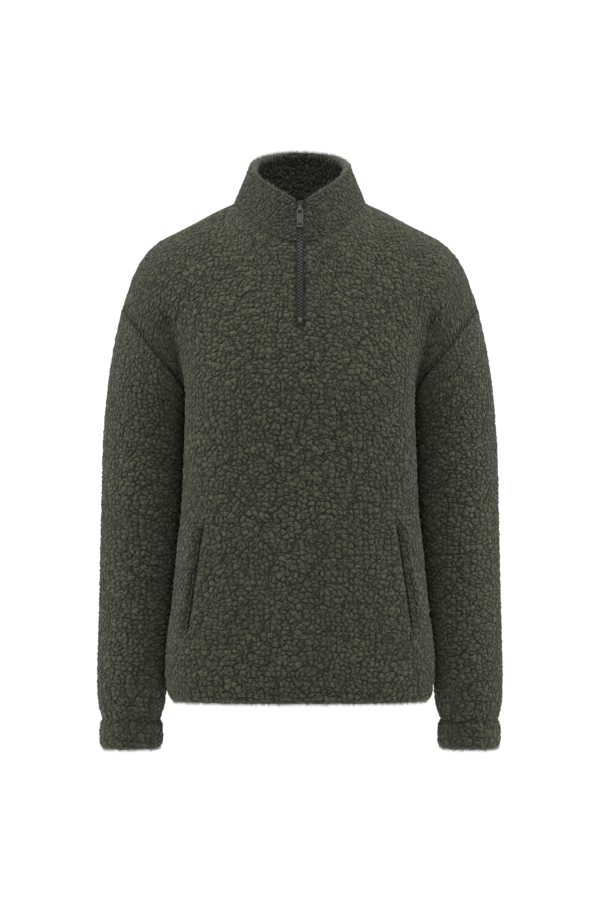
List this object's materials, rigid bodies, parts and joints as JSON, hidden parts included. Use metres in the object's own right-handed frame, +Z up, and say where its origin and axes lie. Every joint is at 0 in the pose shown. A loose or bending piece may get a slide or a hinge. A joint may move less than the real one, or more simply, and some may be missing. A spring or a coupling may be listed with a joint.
{
  "type": "sherpa sweatshirt with short zip",
  "caption": "Sherpa fleece sweatshirt with a stand collar, a short front zip, dropped sleeves and slanted pockets, filled out and empty inside.",
  "frame": {"origin": "middle of the neck opening at the height where the shoulder seams meet it, which is where the wearer holds the garment up", "axes": "+Z up, -Y towards the front with the zip, +X to the viewer's right when looking at the front"},
  "size_m": [0.558, 0.2563, 0.8288],
  "materials": {
    "fleece": "olive green sherpa pile with rounded lumps and a fine fuzz",
    "pocket_fleece": "the same pile, pressed flat inside the pocket mouth",
    "zip_tape": "dark woven zip tape",
    "zip_metal": "dull antique nickel"
  },
  "bodies": {
    "garment": {"front": "fleece", "back": "fleece", "sleeve_left": "fleece", "sleeve_right": "fleece", "cuff_left": "fleece", "cuff_right": "fleece", "collar": "fleece", "pocket_facing_left": "pocket_fleece", "pocket_facing_right": "pocket_fleece", "zip_tape_left": "zip_tape", "zip_tape_right": "zip_tape", "zip_slider": "zip_metal", "zip_bottom_stop": "zip_metal"},
    "pull_tab": {"zip_pull": "zip_metal"}
  },
  "joints": [
    {"name": "pull_tab_swing", "type": "hinge", "parent": "garment", "child": "pull_tab", "pos_m": [0, -0.09273, -0.01608], "axis": [-1, 0, 0], "range_deg": [0, 150]}
  ]
}
